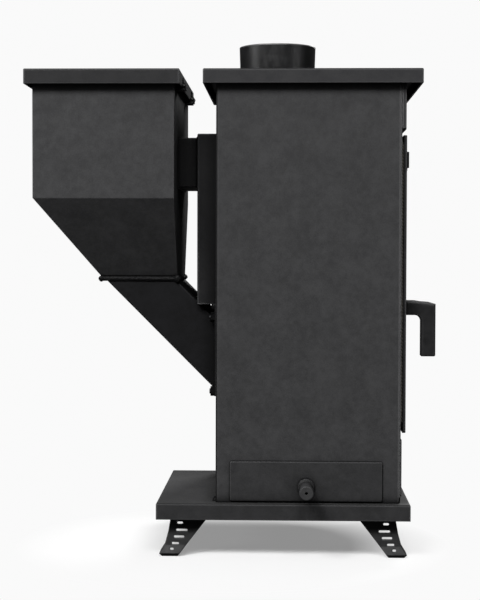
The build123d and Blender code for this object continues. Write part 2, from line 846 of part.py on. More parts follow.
def bricks():
    near = block(brick_x0, brick_x1, hearth_y0, hearth_y0 + brick_thickness, z_hearth, z_hearth + brick_height)
    far = block(brick_x0, brick_x1, hearth_y1 - brick_thickness, hearth_y1, z_hearth, z_hearth + brick_height)
    near = chamfer(near.faces().sort_by(Axis.Y)[-1].edges(), brick_edge)
    far = chamfer(far.faces().sort_by(Axis.Y)[0].edges(), brick_edge)
    return near, far


def brick_rails():
    """Angle strips on the side walls that lip over the top of each brick."""
    rails = []
    x0 = brick_x0 + body_sheet
    x1 = brick_x1 - brick_thickness
    z = z_hearth + brick_height
    for wall, side in ((hearth_y0, 1), (hearth_y1, -1)):
        outer = wall + side * (brick_thickness + register_clearance)
        edge = outer + side * runner_sheet
        rail = block(x0, x1, min(wall, edge), max(wall, edge), z, z + runner_sheet)
        rail += block(x0, x1, min(outer, edge), max(outer, edge), z - brick_clip, z + small)
        rails.append(rail)
    return rails


z_baffle = z_cap - baffle_drop


def baffle_plate():
    """Deflector under the flue with a turned-up front edge."""
    x1 = brick_x0 + baffle_length
    y0 = hearth_y0 + baffle_clearance
    y1 = hearth_y1 - baffle_clearance
    plate = block(brick_x0, x1, y0, y1, z_baffle, z_baffle + baffle_sheet)
    return plate + block(x1 - baffle_sheet, x1, y0, y1, z_baffle, z_baffle + baffle_edge)


def baffle_bars():
    x0 = brick_x0 + body_sheet
    x1 = x0 + baffle_length - 2 * baffle_bar
    return [block(x0, x1, hearth_y0, hearth_y0 + baffle_bar, z_baffle - baffle_bar, z_baffle),
            block(x0, x1, hearth_y1 - baffle_bar, hearth_y1, z_baffle - baffle_bar, z_baffle)]


# ---------------------------------------------------------------- rear channel and balance duct
def rear_channel():
    """Folded cover, open towards the body, with the duct port in its back."""
    cover = block(x_back - channel_depth, x_back, channel_y0, channel_y1, channel_z0, channel_z1)
    outer = cover.faces().sort_by(Axis.X)[0].edges()
    cover = fillet(outer, pan_bend)
    cover -= block(x_back - channel_depth + channel_sheet, x_back + small, channel_y0 + channel_sheet,
                   channel_y1 - channel_sheet, channel_z0 + channel_sheet, channel_z1 - channel_sheet)
    cover -= duct_hole(x_back - channel_depth - small, x_back - channel_depth + channel_sheet + small)
    gap = channel_clearance
    top = [(hopper_front, z_chute + 2 * gap), (x_back, z_chute - (x_back - hopper_front) + 2 * gap),
           (x_back, chute_low), (hopper_front, chute_low)]
    return cover - prism_y(top, chute_y0 - gap, chute_y1 + gap)


def duct_hole(x0, x1):
    return block(x0, x1, duct_y0 + duct_sheet, duct_y1 - duct_sheet, duct_z0 + duct_sheet, duct_z1 - duct_sheet)


def balance_duct():
    x0 = hopper_front
    x1 = x_back - channel_depth
    tube = block(x0, x1, duct_y0, duct_y1, duct_z0, duct_z1)
    return fillet(tube.edges().filter_by(Axis.X), duct_corner) - duct_hole(x0 - small, x1 + small)


def duct_welds():
    """Fillet weld round each end of the duct."""
    beads = []
    for x, side in ((hopper_front, 1), (x_back - channel_depth, -1)):
        x0, x1 = sorted((x, x + side * weld_leg))
        bead = block(x0, x1, duct_y0 - weld_leg, duct_y1 + weld_leg, duct_z0 - weld_leg, duct_z1 + weld_leg)
        outer = bead.faces().sort_by(Axis.X)[-1 if side > 0 else 0].edges()
        bead = chamfer(outer, weld_bevel)
        beads.append(bead - block(x0 - small, x1 + small, duct_y0, duct_y1, duct_z0, duct_z1))
    return beads


def base_welds():
    """Short stitch welds along the foot of the shell."""
    stitches = []
    half = stitch_length / 2
    for y in (y_near + stitch_inset, body_y, y_far - stitch_inset):
        outline = [(x_back - 2 * weld_leg, z_base), (x_back, z_base), (x_back, z_base + weld_leg)]
        stitches.append(prism_y(outline, y - half, y + half))
    return stitches


# ---------------------------------------------------------------- hopper, outlet band and chute
def funnel(inset, over):
    """Solid of the hopper's form, drawn in by a wall thickness when asked."""
    share = over / (z_fold - z_outlet)
    low = z_outlet - over
    foot_x = outlet_back + (outlet_back - hopper_back) * share
    foot_y0 = chute_y0 + (chute_y0 - hopper_near) * share
    foot_y1 = chute_y1 - (hopper_far - chute_y1) * share
    side = [(hopper_back + inset, z_rim + over), (hopper_back + inset, z_fold), (foot_x + inset, low),
            (hopper_front - inset, low), (hopper_front - inset, z_rim + over)]
    face = [(hopper_near + inset, z_rim + over), (hopper_near + inset, z_fold), (foot_y0 + inset, low),
            (foot_y1 - inset, low), (hopper_far - inset, z_fold), (hopper_far - inset, z_rim + over)]
    return prism_y(side, hopper_near, hopper_far) & prism_x(face, hopper_back, hopper_front)


def hopper_shell():
    """Open-topped sheet hopper: square above, drawn in on three sides below the fold."""
    shell = funnel(0, 0) - funnel(hopper_sheet, small)
    lip = block(hopper_back, hopper_front, hopper_near, hopper_far, z_rim - hopper_sheet, z_rim)
    lip -= block(hopper_back + hopper_lip, hopper_front - hopper_lip,
                 hopper_near + hopper_lip, hopper_far - hopper_lip, z_rim - 2 * hopper_sheet, z_rim + small)
    return shell + lip - duct_hole(hopper_front - hopper_sheet - small, hopper_front + small)


def lid_seal():
    x0 = hopper_back + lid_seal_inset
    x1 = hopper_front - lid_seal_inset
    y0 = hopper_near + lid_seal_inset
    y1 = hopper_far - lid_seal_inset
    ring = block(x0, x1, y0, y1, z_rim, z_rim + lid_seal_thickness)
    return ring - block(x0 + lid_seal_width, x1 - lid_seal_width, y0 + lid_seal_width, y1 - lid_seal_width,
                        z_rim - small, z_top)


lid_front = hopper_front + lid_ahead
lid_axis_x = lid_front + lid_hinge_radius + lid_hinge_gap
lid_axis_z = z_top - lid_rim + lid_hinge_radius + lid_hinge_gap


def hopper_lid():
    return folded_pan(hopper_back - lid_behind, lid_front, hopper_near - lid_beside, hopper_far + lid_beside,
                      z_top - lid_rim, z_top, lid_sheet, lid_bend)


def lid_hinges():
    """Two small butt hinges between the hopper's front wall and the lid's rim."""
    fixed = []
    moving = []
    pins = []
    half = lid_hinge_gap / 2
    edge = lid_axis_x + lid_hinge_radius
    shelf_z = z_top - lid_rim - lid_hinge_radius
    for y in (body_y - lid_hinge_spread, body_y + lid_hinge_spread):
        low = y - lid_hinge_knuckle - half
        bottom = rod((lid_axis_x, low, lid_axis_z), "Y", lid_hinge_radius, lid_hinge_knuckle)
        bottom += block(hopper_front, edge, low, y - half, shelf_z - lid_hinge_leaf, shelf_z)
        bottom += block(edge - lid_hinge_leaf, edge, low, y - half, shelf_z - lid_hinge_leaf, lid_axis_z)
        bottom -= rod((lid_axis_x, low - small, lid_axis_z), "Y", lid_hinge_pin_radius, lid_hinge_knuckle + 1)
        fixed.append(bottom)
        top = rod((lid_axis_x, y + half, lid_axis_z), "Y", lid_hinge_radius, lid_hinge_knuckle)
        top += block(lid_front, lid_front + lid_hinge_leaf, y + half, y + half + lid_hinge_knuckle,
                     lid_axis_z, lid_axis_z + lid_hinge_leaf_rise)
        top -= rod((lid_axis_x, y + half - small, lid_axis_z), "Y", lid_hinge_pin_radius + hinge_clearance,
                   lid_hinge_knuckle + 1)
        moving.append(top)
        pins.append(rod((lid_axis_x, low, lid_axis_z), "Y", lid_hinge_pin_radius,
                        2 * lid_hinge_knuckle + lid_hinge_gap))
    return fixed, moving, pins


def outlet_band():
    """Welded band where the hopper's foot meets the chute."""
    band = block(outlet_back - band_out, hopper_front + band_out, chute_y0 - band_out, chute_y1 + band_out,
                 z_chute, z_outlet)
    band = fillet(band.edges().filter_by(Axis.Z), band_out)
    band = chamfer(band.faces().sort_by(Axis.Z)[0].edges(), band_edge)
    return band - block(chute_back + wall_shift, hopper_front - wall_shift, chute_y0 + chute_sheet,
                        chute_y1 - chute_sheet, z_chute - small, z_outlet + small)


def chute():
    """Rectangular tube falling at 45 degrees from the outlet to the body's back."""
    outer = [(chute_back, z_chute), (hopper_front, z_chute),
             (flange_face, chute_high), (flange_face, chute_low)]
    tube = prism_y(outer, chute_y0, chute_y1)
    tube = fillet(tube.edges().filter_by(Axis.Y, reverse=True).filter_by(Axis.Z, reverse=True)
                  .filter_by(Axis.X, reverse=True), chute_bend)
    run = flange_face - chute_back + 2 * band_height
    x0 = chute_back + wall_shift - band_height
    x1 = hopper_front - wall_shift - band_height
    z0 = z_chute + band_height
    inner = [(x0, z0), (x1, z0), (x1 + run, z0 - run), (x0 + run, z0 - run)]
    return tube - prism_y(inner, chute_y0 + chute_sheet, chute_y1 - chute_sheet)


def chute_plate(x0, x1, margin):
    """Plate round the chute's lower end, with the pellet way cut through."""
    plate = block(x0, x1, chute_y0 - margin, chute_y1 + margin, flange_z0, flange_z1)
    return plate - block(x0 - small, x1 + small, chute_y0 + chute_sheet, chute_y1 - chute_sheet,
                         mouth_z0, mouth_z1)


def chute_flange():
    flange = chute_plate(flange_face, flange_face + flange_sheet, flange_margin)
    flange = chamfer(flange.edges().filter_by(Axis.X).group_by(Axis.Z)[0], pan_bend)
    for y in stud_y:
        for z in stud_z:
            flange -= rod((flange_face - small, y, z), "X", chute_stud_radius + chute_stud_clearance,
                          flange_sheet + 1)
    return flange


def chute_studs():
    """Studs welded to the body's back, and the nuts that draw the flange on to its gasket."""
    studs = []
    nuts = []
    x0 = flange_face - chute_nut_height
    end = x0 - chute_stud_tail
    for y in stud_y:
        for z in stud_z:
            studs.append(rod((end, y, z), "X", chute_stud_radius, x_back - end))
            nut = hexagon((x0, y, z), "X", chute_nut_flats, chute_nut_height)
            nuts.append(nut - rod((end, y, z), "X", chute_stud_radius + nut_clearance, x_back - end))
    return studs, nuts


# ---------------------------------------------------------------- every piece in its node
keep("base_pan", base_pan())
for corner_name, corner_place in leg_places().items():
    keep("leg_" + corner_name, put_leg(leg(), corner_place))
keep("body_shell", body_shell())
keep("base_welds", *base_welds())
keep("front_frame", front_frame())
keep("header_rail", header_rail())
keep("air_plate", air_plate())
keep("air_guides", *register_guides(air_x, air_slider_sheet + register_clearance, air_y0, air_y1, air_z,
                                    air_slider_height))
keep("air_slider", air_strip())
keep("top_plate", top_plate())
keep("flue_collar", flue_collar())

keep("door_leaf", door_leaf())
keep("door_glass", plate_x(glass_x, tape_x, glass_y0, glass_y1, glass_z0, glass_z1, window_corner))
keep("glass_tape", ring_x(tape_x, x_leaf, glass_y0, glass_y1, glass_z0, glass_z1, window_corner, tape_width))
clip_solids, screw_solids = glass_clips()
keep("glass_clips", *clip_solids)
keep("glass_screws", *screw_solids)
keep("door_seal", door_seal())
hinge_fixed, hinge_moving = door_hinges()
keep("hinge_frame_leaves", *hinge_fixed)
keep("hinge_door_leaves", *hinge_moving)
guide_y0 = wash_y0 + wash_sheet + wash_travel + wash_end
keep("wash_guides", *register_guides(x_door, wash_sheet + register_clearance, guide_y0, wash_y1, wash_z,
                                     wash_height))
keep("wash_slider", wash_strip())

keep("door_handle", door_handle())
keep("handle_spindle", spindle())
keep("handle_bush", handle_bush())
tongue_solid, tongue_nut = latch_tongue()
keep("latch_tongue", tongue_solid)
keep("latch_nut", tongue_nut)
keeper_y = door_near + door_lap - keeper_width
keep("latch_keeper", block(x_front - keeper_sheet, x_front, keeper_y, keeper_y + keeper_width,
                           handle_height - keeper_length / 2, handle_height + keeper_length / 2))

keep("drawer_front", drawer_front())
tray_solid, tray_end_solids = ash_tray()
keep("ash_tray", tray_solid)
keep("ash_tray_ends", *tray_end_solids)
keep("drawer_knob", drawer_knob())
keep("drawer_runners", *drawer_runners())
keep("hearth_plate", hearth_plate())
keep("fire_grate", fire_grate())
keep("burn_pot", burn_pot())
keep("feed_slide", feed_slide())
brick_near_solid, brick_far_solid = bricks()
keep("brick_near", brick_near_solid)
keep("brick_far", brick_far_solid)
keep("brick_rails", *brick_rails())
keep("baffle_plate", baffle_plate())
keep("baffle_bars", *baffle_bars())

keep("rear_channel", rear_channel())
keep("balance_duct", balance_duct())
keep("duct_welds", *duct_welds())
keep("hopper_shell", hopper_shell())
keep("lid_seal", lid_seal())
keep("hopper_lid", hopper_lid())
lid_fixed, lid_moving, lid_pins = lid_hinges()
keep("lid_hinge_brackets", *lid_fixed)
keep("lid_hinge_leaves", *lid_moving)
keep("lid_hinge_pins", *lid_pins)
keep("outlet_band", outlet_band())
keep("hopper_chute", chute())
keep("chute_flange", chute_flange())
keep("chute_gasket", chute_plate(flange_face + flange_sheet, x_back, gasket_margin))
stud_solids, nut_solids = chute_studs()
keep("chute_studs", *stud_solids)
keep("chute_nuts", *nut_solids)

os.makedirs("parts", exist_ok=True)
for node_name, node_shape in nodes.items():
    export_step(node_shape, "parts/" + node_name + ".step")
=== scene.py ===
import bpy, bmesh, math
from mathutils import Matrix, Vector


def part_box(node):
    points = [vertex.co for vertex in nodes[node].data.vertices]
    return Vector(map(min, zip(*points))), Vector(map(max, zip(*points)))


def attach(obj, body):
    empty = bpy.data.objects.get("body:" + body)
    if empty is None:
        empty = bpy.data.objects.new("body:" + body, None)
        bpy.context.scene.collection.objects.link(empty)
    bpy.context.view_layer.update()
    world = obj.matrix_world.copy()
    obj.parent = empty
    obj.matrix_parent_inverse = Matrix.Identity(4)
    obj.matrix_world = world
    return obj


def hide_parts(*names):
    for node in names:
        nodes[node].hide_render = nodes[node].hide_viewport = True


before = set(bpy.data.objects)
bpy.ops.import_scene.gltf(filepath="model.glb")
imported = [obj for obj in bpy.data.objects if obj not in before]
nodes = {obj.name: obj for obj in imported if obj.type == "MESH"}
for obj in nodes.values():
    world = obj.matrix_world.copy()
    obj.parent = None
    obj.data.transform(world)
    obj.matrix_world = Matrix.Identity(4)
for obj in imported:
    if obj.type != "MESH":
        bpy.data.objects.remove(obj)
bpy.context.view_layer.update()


# ------------------------------------------------------------------ camera
# The photograph's own viewpoint, worked out from the stove's edges: a long lens on the drawer side,
# just above mid height, turned a little towards the hopper. Its place is given from the body's corner.
eye_along = 0.1372
eye_back = 2.8837
eye_height = 0.5936
eye_turn = 1.79
eye_dip = 1.87
eye_roll = 0.13
bpy.ops.object.select_all(action="DESELECT")
shell_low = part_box("body_shell")[0]
bpy.ops.object.camera_add(location=(shell_low.x + eye_along, shell_low.y - eye_back, eye_height))
camera = bpy.context.object
camera.name = "camera"
camera.rotation_mode = "QUATERNION"
aim = Matrix.Rotation(math.radians(eye_turn), 4, "Z") @ Matrix.Rotation(math.radians(90 - eye_dip), 4, "X")
camera.rotation_quaternion = (aim @ Matrix.Rotation(math.radians(eye_roll), 4, "Z")).to_quaternion()
camera.data.sensor_width = 36.0
camera.data.lens = 89.4
camera.data.clip_end = 60.0
bpy.context.scene.camera = camera


# ------------------------------------------------------------------ base pan
# Mild steel sheet folded down on four sides, its corners seam-welded and ground, then sprayed with
# the same matt stove paint as the rest. It carries the whole stove on its flat top.
def tone(code):
    """sRGB hex to the linear colour that a shader socket takes."""
    parts = [int(code[i:i + 2], 16) / 255 for i in (1, 3, 5)]
    return [p / 12.92 if p <= 0.04045 else ((p + 0.055) / 1.055) ** 2.4 for p in parts] + [1.0]


def add(tree, kind, settings=(), stops=(), **links):
    """Adds a node, sets its properties and colour stops, then fills its inputs with values or links."""
    node = tree.nodes.new(kind)
    for key, value in dict(settings).items():
        setattr(node, key, value)
    for point, (position, code) in enumerate(stops):
        node.color_ramp.elements[point].position = position
        node.color_ramp.elements[point].color = tone(code)
    for key, value in links.items():
        socket = node.inputs[int(key[1:])] if key[1:].isdigit() else node.inputs[key.replace("_", " ")]
        if isinstance(value, bpy.types.NodeSocket):
            tree.links.new(value, socket)
        else:
            socket.default_value = value
    return node


def begin(name):
    """A fresh material: its tree, its shader and the piece's own coordinates in metres."""
    material = bpy.data.materials.new(name)
    material.use_nodes = True
    tree = material.node_tree
    shader = tree.nodes["Principled BSDF"]
    place = tree.nodes.new("ShaderNodeTexCoord").outputs["Object"]
    return material, tree, shader, place


# Sizes in metres: the paint's patches, and how far the painted shade under laps and in corners reaches.
cloud_size = 0.040
mist_size = 0.012
fleck_size = 0.003
lap_shade_reach = 0.045
# Grains in a metre, one in 1.1 mm, which is as fine as the picture can show.
grit_count = 900.0
# From and to: how far a face turns at a fold before its painted highlight, and before its painted shade;
# the last pair is the share of open air between none and full painted shade under laps and in corners.
fold_highlight_turn = (0.992, 0.955)
sharp_fold_shade_turn = (0.90, 0.81)
rounded_fold_shade_turn = (0.95, 0.82)
lap_shade_open_share = (0.92, 0.62)


def stove_paint(name, dark, light, highlight_tone="#7e7e7f", shade_tone="#060607", rough=0.62, fold=0.0045, shine=0.25,
                bloom=0.0, rounded=False):
    """Silicone stove paint, put on by spray gun and heat cured on steel: dead matt, mottled in patches of
    12 to 40 mm where the mist fell thicker, with a dry 1 mm grain. A painted highlight runs as a pale line
    beside each fold, the fold itself carries painted shade, and painted shade blackens the coat under laps
    and in corners, where little open air is around."""
    material, tree, shader, place = begin(name)
    clouds = add(tree, "ShaderNodeTexNoise", Vector=place, Scale=1 / cloud_size, Detail=2.0, Roughness=0.55)
    mist = add(tree, "ShaderNodeTexNoise", Vector=place, Scale=1 / mist_size, Detail=2.0, Roughness=0.6)
    flecks = add(tree, "ShaderNodeTexNoise", Vector=place, Scale=1 / fleck_size, Detail=2.0, Roughness=0.6)
    patch = add(tree, "ShaderNodeMix", {"data_type": "FLOAT"}, i0=0.5, i2=clouds.outputs[0],
                i3=mist.outputs[0])
    blend = add(tree, "ShaderNodeMix", {"data_type": "FLOAT"}, i0=0.25, i2=patch.outputs[0],
                i3=flecks.outputs[0])
    coat = add(tree, "ShaderNodeValToRGB", stops=((0.38, dark), (0.62, light)), i0=blend.outputs[0])
    soft = add(tree, "ShaderNodeBevel", {"samples": 8}, Radius=fold)
    true = add(tree, "ShaderNodeNewGeometry")
    turn = add(tree, "ShaderNodeVectorMath", {"operation": "DOT_PRODUCT"}, i0=soft.outputs[0],
               i1=true.outputs["Normal"])
    # Painted highlight: a pale line beside each fold, where the rounded normal turns from the true one.
    painted_fold_highlight = add(tree, "ShaderNodeMapRange", Value=turn.outputs[1], i1=fold_highlight_turn[0], i2=fold_highlight_turn[1],
               i3=0.0, i4=0.9)
    # Painted shade: the fold itself goes dark; on rounded folds, wherever a face is square to no axis.
    square, fold_shade_turn = turn.outputs[1], sharp_fold_shade_turn
    if rounded:
        facing = add(tree, "ShaderNodeVectorMath", {"operation": "ABSOLUTE"}, i0=true.outputs["Normal"])
        parts = add(tree, "ShaderNodeSeparateXYZ", i0=facing.outputs[0])
        flat = add(tree, "ShaderNodeMath", {"operation": "MAXIMUM"}, i0=parts.outputs[0], i1=parts.outputs[1])
        upright = add(tree, "ShaderNodeMath", {"operation": "MAXIMUM"}, i0=flat.outputs[0],
                      i1=parts.outputs[2])
        square, fold_shade_turn = upright.outputs[0], rounded_fold_shade_turn
    painted_fold_shade = add(tree, "ShaderNodeMapRange", Value=square, i1=fold_shade_turn[0], i2=fold_shade_turn[1], i3=0.0, i4=0.95)
    highlight_and_line_gloss = add(tree, "ShaderNodeMix", {"data_type": "RGBA"}, i0=painted_fold_highlight.outputs[0], i6=coat.outputs[0],
               i7=tone(highlight_tone))
    drawn = add(tree, "ShaderNodeMix", {"data_type": "RGBA"}, i0=painted_fold_shade.outputs[0], i6=highlight_and_line_gloss.outputs[2],
                i7=tone(shade_tone))
    # Painted shade: the coat goes near black where little open air is around, under laps and in corners.
    open_air = add(tree, "ShaderNodeAmbientOcclusion", {"samples": 8}, Distance=lap_shade_reach)
    painted_lap_shade = add(tree, "ShaderNodeMapRange", Value=open_air.outputs["AO"], i1=lap_shade_open_share[0],
                 i2=lap_shade_open_share[1], i3=0.0, i4=0.97)
    coat_with_lap_shade = add(tree, "ShaderNodeMix", {"data_type": "RGBA"}, i0=painted_lap_shade.outputs[0], i6=drawn.outputs[2],
                  i7=tone(shade_tone))
    tree.links.new(coat_with_lap_shade.outputs[2], shader.inputs["Base Color"])
    gloss = add(tree, "ShaderNodeMapRange", Value=mist.outputs[0], i1=0.3, i2=0.7, i3=rough - 0.05,
                i4=rough + 0.07)
    tree.links.new(gloss.outputs[0], shader.inputs["Roughness"])
    grit = add(tree, "ShaderNodeTexNoise", Vector=place, Scale=grit_count, Detail=3.0, Roughness=0.7)
    peel = add(tree, "ShaderNodeBump", Strength=0.55, Distance=0.0004, Height=grit.outputs[0],
               Normal=soft.outputs[0])
    tree.links.new(peel.outputs[0], shader.inputs["Normal"])
    shader.inputs["Specular IOR Level"].default_value = shine
    shader.inputs["Sheen Weight"].default_value = bloom
    return material


def finish_with(material, *names):
    """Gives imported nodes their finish."""
    for name in names:
        nodes[name].data.materials.clear()
        nodes[name].data.materials.append(material)


base_paint = stove_paint("matt_stove_paint_base", "#272728", "#323233", highlight_tone="#5c5c5d", fold=0.005,
                         rounded=True, bloom=0.11)
finish_with(base_paint, "base_pan")

# ------------------------------------------------------------------ legs
# Pressed angle legs: two wings folded from one blank, flared outwards at the toe and slotted, so the
# heat under the stove has less metal to travel down. Each is welded by its tab under the base pan.
leg_paint = stove_paint("matt_stove_paint_legs", "#151516", "#1e1e1f", highlight_tone="#3c3c3d", rough=0.5, shine=0.3)
finish_with(leg_paint, "leg_front_near", "leg_front_far", "leg_rear_near", "leg_rear_far")

# ------------------------------------------------------------------ body
# One sheet wrapped round the back and sides, folded at the two rear corners and closed in front by
# flat laser-cut plates. The large flat sides show the clouding of the paint most.
body_paint = stove_paint("matt_stove_paint_body", "#343435", "#404041", highlight_tone="#747475", fold=0.005,
                         rounded=True)
frame_paint = stove_paint("matt_stove_paint_front", "#2b2b2c", "#353536")
finish_with(body_paint, "body_shell")
finish_with(frame_paint, "front_frame", "header_rail", "air_plate", "latch_keeper")

# ------------------------------------------------------------------ stitch welds at the body's foot
# Three short runs of stick weld tie the back of the body to the base pan. They are lumpy, a little
# thicker where the arc was struck and left, and painted over with the rest.
weld_paint = stove_paint("matt_stove_paint_welds", "#070708", "#0e0e0f", highlight_tone="#0e0e0f", rough=0.6,
                         fold=0.001, shine=0.2)
melt_grid = 0.0011
wave_size = 0.005


def weld_bead(name, runs, radius, blobs=(), ripple=0.0016):
    """Runs of weld metal: rods laid end to end, thickened by blobs, melted into one skin and made uneven."""
    bpy.ops.object.select_all(action="DESELECT")
    laid = []
    for start, end in runs:
        along = Vector(end) - Vector(start)
        bpy.ops.mesh.primitive_cylinder_add(vertices=12, radius=radius, depth=along.length + radius,
                                            location=(Vector(start) + Vector(end)) / 2,
                                            rotation=along.to_track_quat("Z", "Y").to_euler())
        laid.append(bpy.context.object)
    for place, size in blobs:
        bpy.ops.mesh.primitive_uv_sphere_add(segments=16, ring_count=10, radius=size, location=place)
        laid.append(bpy.context.object)
    for rod in laid:
        rod.select_set(True)
    bpy.ops.object.join()
    bead = bpy.context.object
    bead.name = name
    bpy.ops.object.transform_apply(location=True, rotation=True, scale=True)
    melt = bead.modifiers.new("melt", "REMESH")
    melt.mode = "VOXEL"
    melt.voxel_size = melt_grid
    waves = bpy.data.textures.new(name + "_waves", "CLOUDS")
    waves.noise_scale = wave_size
    lumps = bead.modifiers.new("lumps", "DISPLACE")
    lumps.texture = waves
    lumps.texture_coords = "LOCAL"
    lumps.strength = ripple
    ease = bead.modifiers.new("ease", "SMOOTH")
    ease.iterations = 2
    for step in ("melt", "lumps", "ease"):
        bpy.ops.object.modifier_apply(modifier=step)
    bpy.ops.object.shade_smooth()
    bead.data.materials.clear()
    bead.data.materials.append(weld_paint)
    return bead


stitch_low, stitch_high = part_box("base_welds")
stitch_length = 0.024
stitch_radius = 0.0045
stitch_struck = 0.0062
stitch_left = 0.0055
stitch_trim = 0.004
stitch_sink = 0.001
stitch_line = stitch_high.x - stitch_sink
stitch_rise = stitch_low.z + stitch_sink
stitch_middle = (stitch_low.y + stitch_high.y) / 2
stitch_runs = []
stitch_ends = []
for middle in (stitch_low.y + stitch_length / 2, stitch_middle, stitch_high.y - stitch_length / 2):
    near_end = (stitch_line, middle - stitch_length / 2 + stitch_trim, stitch_rise)
    far_end = (stitch_line, middle + stitch_length / 2 - stitch_trim, stitch_rise)
    stitch_runs.append((near_end, far_end))
    stitch_ends.append((near_end, stitch_struck))
    stitch_ends.append((far_end, stitch_left))
stitches = weld_bead("base_stitch_welds", stitch_runs, stitch_radius, stitch_ends)
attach(stitches, "stove")
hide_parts("base_welds")

# ------------------------------------------------------------------ top plate and flue collar
# The top is folded like the base. The collar is a cast ring, 3 mm thick, that widens a little to its
# mouth. Its coat is smoother and darker, and its round side picks up two soft upright lights.
top_paint = stove_paint("matt_stove_paint_top", "#2b2b2d", "#363637", highlight_tone="#606061", fold=0.005,
                        rounded=True)
collar_paint = stove_paint("matt_stove_paint_collar", "#131314", "#1d1d1e", rough=0.33, shine=0.9)
finish_with(top_paint, "top_plate")
finish_with(collar_paint, "flue_collar")

# ------------------------------------------------------------------ rear channel and balance duct
# Folded steel cover on the back of the body, and the square tube that ties it to the hopper. Both are
# welded on: a slim bead runs round each end of the tube, and a heavier near-black one at the cover's foot
# is partly weld and partly painted shade, a dark piece filling the shade under the cover.
channel_paint = stove_paint("matt_stove_paint_channel", "#1b1b1c", "#242425", shine=0.15)
duct_paint = stove_paint("matt_stove_paint_duct", "#3b3b3c", "#474748", shine=0.15)
finish_with(channel_paint, "rear_channel")
finish_with(duct_paint, "balance_duct")


def frame_runs(low, high, axis, level):
    """The four sides of a rectangle that stands square to one axis, as start and end points."""
    across = [k for k in range(3) if k != axis]
    corners = []
    for first, second in ((low, low), (high, low), (high, high), (low, high)):
        spot = [level, level, level]
        spot[across[0]] = first[across[0]]
        spot[across[1]] = second[across[1]]
        corners.append(tuple(spot))
    return [(corners[k], corners[(k + 1) % 4]) for k in range(4)]


duct_low, duct_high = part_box("balance_duct")
joint_low, joint_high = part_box("duct_welds")
duct_bead_radius = 0.0030
duct_bead_ripple = 0.0010
duct_runs = (frame_runs(duct_low, duct_high, 0, joint_low.x)
             + frame_runs(duct_low, duct_high, 0, joint_high.x))
duct_beads = weld_bead("duct_fillet_welds", duct_runs, duct_bead_radius, ripple=duct_bead_ripple)
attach(duct_beads, "stove")
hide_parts("duct_welds")

channel_low, channel_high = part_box("rear_channel")
foot_bead_radius = 0.0072
foot_blob = 0.0085
foot_trim = 0.006
foot_x = channel_high.x - 0.005
foot_z = channel_low.z - 0.004
foot_start = (foot_x, channel_low.y + foot_trim, foot_z)
foot_end = (foot_x, channel_high.y - foot_trim, foot_z)
# The foot bead is near black and laid where the cover's foot is in shade: part weld, part painted shade.
foot_bead_and_shade = weld_bead("channel_foot_weld_and_shade", [(foot_start, foot_end)], foot_bead_radius,
                      [(foot_start, foot_blob)])
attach(foot_bead_and_shade, "stove")

# ------------------------------------------------------------------ hopper and lid
# Sheet steel hopper: square above the fold and drawn in on three sides below it, with a folded lid that
# hinges up towards the stove on zinc-plated pins and shuts on a rope of glass fibre.
hopper_paint = stove_paint("matt_stove_paint_hopper", "#353536", "#424243", highlight_tone="#5c5c5d", fold=0.004)
lid_paint = stove_paint("matt_stove_paint_lid", "#232324", "#2d2d2e", highlight_tone="#5c5c5d", fold=0.005,
                        rounded=True)
line_length = 0.012
line_pitch = 0.001


def machined_metal(name, light, dark, rough):
    """Bare or plated metal with drawn lines; metallic, so it mirrors the room in a soft streak. The lines are
    12 mm long and 1 mm apart up the piece, coarser than the real ones so that they show."""
    material, tree, shader, place = begin(name)
    drawn = add(tree, "ShaderNodeMapping", Vector=place, Scale=Vector((1.0, 1.0, line_length / line_pitch)))
    lines = add(tree, "ShaderNodeTexNoise", Vector=drawn.outputs[0], Scale=1 / line_length, Detail=5.0,
                Roughness=0.65)
    metal = add(tree, "ShaderNodeValToRGB", stops=((0.32, dark), (0.7, light)), i0=lines.outputs[0])
    tree.links.new(metal.outputs[0], shader.inputs["Base Color"])
    highlight_and_line_gloss = add(tree, "ShaderNodeMapRange", Value=lines.outputs[0], i1=0.3, i2=0.7, i3=rough - 0.08,
               i4=rough + 0.12)
    tree.links.new(highlight_and_line_gloss.outputs[0], shader.inputs["Roughness"])
    cut = add(tree, "ShaderNodeBump", Strength=0.3, Distance=0.0001, Height=lines.outputs[0])
    tree.links.new(cut.outputs[0], shader.inputs["Normal"])
    shader.inputs["Metallic"].default_value = 1.0
    return material


def woven_rope(name, light, dark, pitch):
    """Knitted glass-fibre rope pressed flat: crossing strands a few millimetres apart, dry and dull."""
    material, tree, shader, place = begin(name)
    over = add(tree, "ShaderNodeTexWave", {"bands_direction": "DIAGONAL"}, Vector=place, Scale=0.3 / pitch,
               Distortion=1.2)
    under = add(tree, "ShaderNodeTexNoise", Vector=place, Scale=0.5 / pitch, Detail=4.0)
    both = add(tree, "ShaderNodeMix", {"data_type": "FLOAT"}, i0=0.4, i2=over.outputs[1],
               i3=under.outputs[0])
    yarn = add(tree, "ShaderNodeValToRGB", stops=((0.25, dark), (0.75, light)), i0=both.outputs[0])
    tree.links.new(yarn.outputs[0], shader.inputs["Base Color"])
    cords = add(tree, "ShaderNodeBump", Strength=0.8, Distance=0.0008, Height=both.outputs[0])
    tree.links.new(cords.outputs[0], shader.inputs["Normal"])
    shader.inputs["Roughness"].default_value = 0.95
    shader.inputs["Sheen Weight"].default_value = 0.25
    return material


zinc_fixing = machined_metal("zinc_plated_steel", "#a9aaa8", "#7c7d7c", 0.36)
rope = woven_rope("glass_fibre_rope", "#77746c", "#4b4944", 0.0032)
finish_with(hopper_paint, "hopper_shell")
finish_with(lid_paint, "hopper_lid", "lid_hinge_leaves", "lid_hinge_brackets")
finish_with(zinc_fixing, "lid_hinge_pins")
finish_with(rope, "lid_seal")

